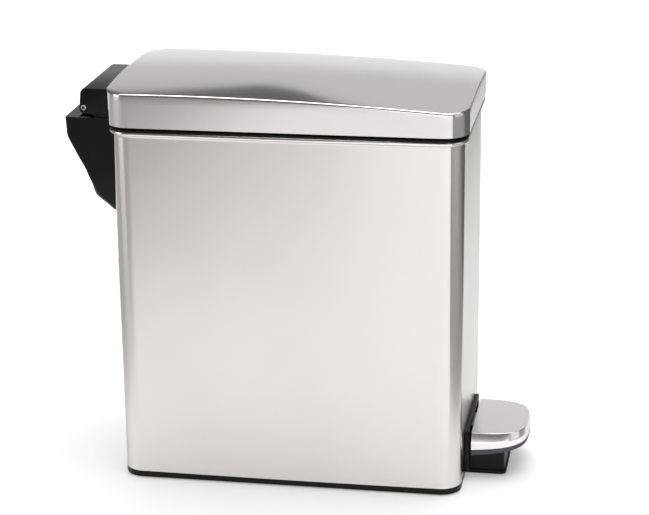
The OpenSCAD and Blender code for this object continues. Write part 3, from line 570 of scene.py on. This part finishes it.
cap_low, cap_high = (np.array(corner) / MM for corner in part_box("hinge_cap"))
cap_back_r, cap_foot_r = 5.0, 4.5
turn = np.linspace(0, np.pi / 2, 9)
cap_loop = np.concatenate([
    [(cap_high[0], cap_low[2]), (cap_high[0], cap_high[2])],
    np.column_stack([cap_low[0] + 1.1 + cap_back_r - cap_back_r * np.sin(turn),
                     cap_high[2] - cap_back_r + cap_back_r * np.cos(turn)]),
    np.column_stack([cap_low[0] + cap_foot_r - cap_foot_r * np.cos(turn),
                     cap_low[2] + cap_foot_r - cap_foot_r * np.sin(turn)])])
edge_in, edge_out = cap_loop - np.roll(cap_loop, 1, 0), np.roll(cap_loop, -1, 0) - cap_loop
edge_in, edge_out = (edge / np.linalg.norm(edge, axis=1, keepdims=True) for edge in (edge_in, edge_out))
mean = edge_in + edge_out
mean = mean / (1 + (edge_in * edge_out).sum(1, keepdims=True))
cap_normal = np.column_stack([mean[:, 1], -mean[:, 0]])
points, faces = solid_along_y(cap_loop, cap_normal, eased(-cover_half, cover_half, 1.5))
cap = build("hinge_cap_moulding", points, faces, black_plastic, "black_plastic", "lid", ["hinge_cap"])
inner_half = cover_half - cover_t
past = 1.0               # how far a block runs out of the cap
shoulder = 5.0           # the wall is this thick round the bend at the top of the back
ears_half, ears_in, ears_top = 33.0, 6.0, 11.5
foot = cap_low[2] - past
front = cap_high[0] + past
carve(cap, [
    ((cap_low[0] + cover_t, -inner_half, foot), (front, inner_half, cap_high[2] - shoulder)),
    ((cap_low[0] + shoulder, -inner_half, foot), (front, inner_half, cap_high[2] - cover_t)),
    ((cap_low[0] - past, -ears_half, foot), (cap_low[0] + ears_in, ears_half, cap_low[2] + ears_top))])


# ---- Pedal --------------------------------------------------------------------------------
# A pressed steel shoe plate over a plastic core. The plate's sides are bent in two facets: a
# leaning one below the tread, which mirrors the dark room, and an upright one, which mirrors the floor.

gloss_plastic = moulded_plastic("polished_black_polypropylene", ("#050507", "#09090C"), 0.26, 0.8, 0.02)
# The pedal core's black plastic is painted mid grey: a painted sheen, standing in for the gloss along its
# lip.
sheen_painted_plastic = moulded_plastic("black_polypropylene_painted_sheen", ("#4A4A50", "#58585E"), 0.5, 0.8, 0.05)
pedal_low, pedal_high = (np.array(corner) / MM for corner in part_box("pedal_cover"))
pedal_steel = satin_stainless("polished_stainless_plate", ("#EAE8E9", "#EFEDEE"), 0.2, 0.5, 0.0, 0.08)


def pedal_outline(near, far, half, power):
    """Loop of the pedal seen from above, anticlockwise from the near end of its heel edge, and its
    outward normals: half of a superellipse, where (x / reach) and (y / half), each to the power,
    add up to 1."""
    angle = np.linspace(-np.pi / 2, np.pi / 2, 57)
    x = np.cos(angle).clip(0) ** (2 / power)
    y = np.sign(angle) * abs(np.sin(angle)) ** (2 / power)
    slope = np.column_stack([x ** (power - 1) / (far - near), np.sign(y) * abs(y) ** (power - 1) / half])
    out = slope / np.linalg.norm(slope, axis=1, keepdims=True)
    return np.column_stack([near + (far - near) * x, half * y]), out


loop, facing = pedal_outline(pedal_low[0], pedal_high[0], pedal_high[1], 3.1)
tread = pedal_high[2]
core_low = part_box("pedal_core")[0][2] / MM
nose_rise = 5.4
around_nose = np.clip(1.3 - facing[:, 0], 0.25, 1)
toward_nose = (loop[:, 0] - pedal_low[0]) / (pedal_high[0] - pedal_low[0])


def pedal_shell(profile, rise, wall):
    """Outer and inner grid of a shell that is open below and at the heel. The loop is carried up
    the profile, each offset shrunk towards the nose, where the lower edge rises by nose_rise. Then
    rows run back to the heel edge. They rise by rise times (1 - (y / half) squared) times
    (1 - (1 - share) squared)."""
    grids = []
    for depth in (0.0, wall):
        rings = ring_stack(loop, facing, profile)
        lean = rings[:, :, :2] - loop
        rings[:, :, :2] = loop + lean * around_nose[None, :, None] - facing * depth
        rings[:, :, 2] += nose_rise * toward_nose * (tread - rings[:, :, 2]) / (tread - core_low)
        rings[:, :, 2] -= depth * np.linspace(0, 1, len(rings))[:, None] ** 2
        edge = rings[-1]
        share = np.array([0.12, 0.3, 0.5, 0.75, 1.0])[:, None]
        across = 1 - (edge[:, 1] / abs(edge[:, 1]).max()) ** 2
        top = np.stack([edge[:, 0] + share * (pedal_low[0] - edge[:, 0]),
                        np.broadcast_to(edge[:, 1], (len(share), len(edge))),
                        edge[:, 2] + rise * across * share * (2 - share)], 2)
        grids.append(np.concatenate([rings, top]))
    rows, columns = grids[0].shape[:2]
    keep = np.ones((rows - 1, columns), bool)
    keep[:, -1] = False
    return np.concatenate([grid.reshape(-1, 3) for grid in grids]), sheet_faces(keep, rows, columns)


bends = fillet_path([(0.0, pedal_low[2]), (0.0, pedal_low[2] + 6.4), (-3.3, tread - 0.5),
                     (-4.6, tread - 0.4)], 0.5, 4)
build("pedal_plate", *pedal_shell(bends, 0.4, sheet), pedal_steel, "polished_steel", "pedal",
      ["pedal_cover"], smooth=25)

lip_top = pedal_low[2] - 0.05
core_bends = [(-0.5, core_low), (0.0, core_low + 0.5), (0.0, lip_top - 0.4), (-0.4, lip_top), (-0.9, lip_top),
              (-0.9, pedal_low[2] + 6.0), (-4.3, tread - 1.7), (-5.6, tread - 1.5)]
build("pedal_core_moulding", *pedal_shell(core_bends, 0.4, 1.2), sheen_painted_plastic, "black_plastic", "pedal",
      ["pedal_core"])


# ---- Plastic and rubber pieces taken over from the frame ----------------------------------
# Mouldings whose CAD shape is right get the small edge radius that a mould leaves. Each is a
# merged copy of the node, with its flat faces joined, and a live bevel.

def eased_copy(node, name, material, body, radius):
    """Copy of a CAD node with doubles merged, flat faces joined and its edges rounded."""
    mesh = frame["nodes"][node].data.copy()
    mesh.name = name
    work = bmesh.new()
    work.from_mesh(mesh)
    bmesh.ops.remove_doubles(work, verts=work.verts, dist=2e-6)
    bmesh.ops.dissolve_limit(work, angle_limit=math.radians(0.6), verts=work.verts, edges=work.edges)
    work.to_mesh(mesh)
    work.free()
    mesh.materials.clear()
    mesh.materials.append(material)
    mesh.polygons.foreach_set("use_smooth", np.ones(len(mesh.polygons), bool))
    mesh.set_sharp_from_angle(angle=math.radians(32))
    piece = bpy.data.objects.new(name, mesh)
    bpy.context.scene.collection.objects.link(piece)
    edge = piece.modifiers.new("edge_radius", "BEVEL")
    edge.width = radius * MM
    edge.segments = 2
    edge.limit_method = "ANGLE"
    edge.angle_limit = math.radians(35)
    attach(piece, body)
    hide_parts(node)
    return piece


grey_plastic = moulded_plastic("moulded_grey_polypropylene", ("#232427", "#2A2B2F"), 0.45, 0.7, 0.05)
for node, name, material, slot, body, radius in (
        ("base_tray", "base_moulding", black_plastic, "black_plastic", "bin", 0.5),
        ("top_collar", "collar_moulding", gloss_plastic, "black_plastic", "bin", 0.35),
        ("pedal_bezel", "pedal_bezel_moulding", gloss_plastic, "black_plastic", "bin", 0.6),
        ("inner_bucket", "bucket_moulding", grey_plastic, "grey_plastic", "bin", 0.4),
        ("lid_liner", "lid_liner_moulding", grey_plastic, "grey_plastic", "lid", 0.4)):
    eased_copy(node, name, material, body, radius)


# ---- Metal parts and small plastic parts that keep their CAD shape ------------------------
# Zinc plated plate and bar for the linkage, bright plated fasteners, natural nylon for whatever
# rubs on metal, and rubber pads.

def plated_metal(name, colour, roughness):
    """Plated steel: bright metal with the faint cloudiness of a barrel-plated part."""
    material, output = new_material(name)
    place = add_node(material, "ShaderNodeTexCoord")
    cloud = add_node(material, "ShaderNodeTexNoise", {"Scale": 120.0, "Detail": 4.0},
                     {"Vector": place.outputs["Object"]})
    tone = two_tones(material, *colour, cloud.outputs["Fac"])
    rough = add_node(material, "ShaderNodeMapRange", {"To Min": roughness - 0.07, "To Max": roughness + 0.1},
                     {"Value": cloud.outputs["Fac"]})
    metal = add_node(material, "ShaderNodeBsdfPrincipled", {"Metallic": 1.0},
                     {"Base Color": tone.outputs[2], "Roughness": rough.outputs[0]})
    material.node_tree.links.new(metal.outputs[0], output.inputs[0])
    return material


zinc = plated_metal("zinc_plated_steel", ("#B9BCC2", "#C9CBCF"), 0.34)
nickel = plated_metal("nickel_plated_steel", ("#D9D7D3", "#E6E4E0"), 0.3)
nylon = moulded_plastic("natural_nylon", ("#D9D6CB", "#E3E1D8"), 0.4, 0.8, 0.02)
rubber = moulded_plastic("soft_black_rubber", ("#1A1A1A", "#242424"), 0.75, 0.5, 0.06)
finishes = {"zinc_plate": zinc, "fasteners": nickel, "white_nylon": nylon, "rubber": rubber,
            "grey_plastic": grey_plastic, "black_plastic": black_plastic, "brushed_steel": body_steel,
            "polished_steel": lid_steel}
for part in frame["record"]["subparts"]:
    for place in frame["nodes"][part["node"]].material_slots:
        place.material = finishes[part["material_slot"]]


# ---- Hinge pin ----------------------------------------------------------------------------
# A spring pin rolled from steel strip, with chamfered ends. It runs through the bracket's ears and
# the lid lever and into the cap's two cheeks, and its ends stand a third of a millimetre proud.

pin_low, pin_high = (np.array(corner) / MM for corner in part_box("hinge_pin"))
pin_r, pin_wall, pin_chamfer, pin_proud = (pin_high[0] - pin_low[0]) / 2, 0.8, 0.35, 0.35
turn = np.arange(40) / 40 * 2 * np.pi
around = np.column_stack([np.cos(turn), np.sin(turn)])
pin_end = pin_high[1] + pin_proud
strip = [(-pin_chamfer, -pin_end), (0.0, pin_chamfer - pin_end), (0.0, pin_end - pin_chamfer),
         (-pin_chamfer, pin_end), (-pin_wall, pin_end), (-pin_wall, -pin_end)]
pin_grid = ring_stack(around * pin_r, around, strip + strip[:1], (pin_low[[0, 2]] + pin_high[[0, 2]]) / 2)
build("spring_pin", pin_grid.reshape(-1, 3)[:, [0, 2, 1]], grid_quads(len(strip) + 1, len(around)), nickel,
      "fasteners", "bin", ["hinge_pin"])
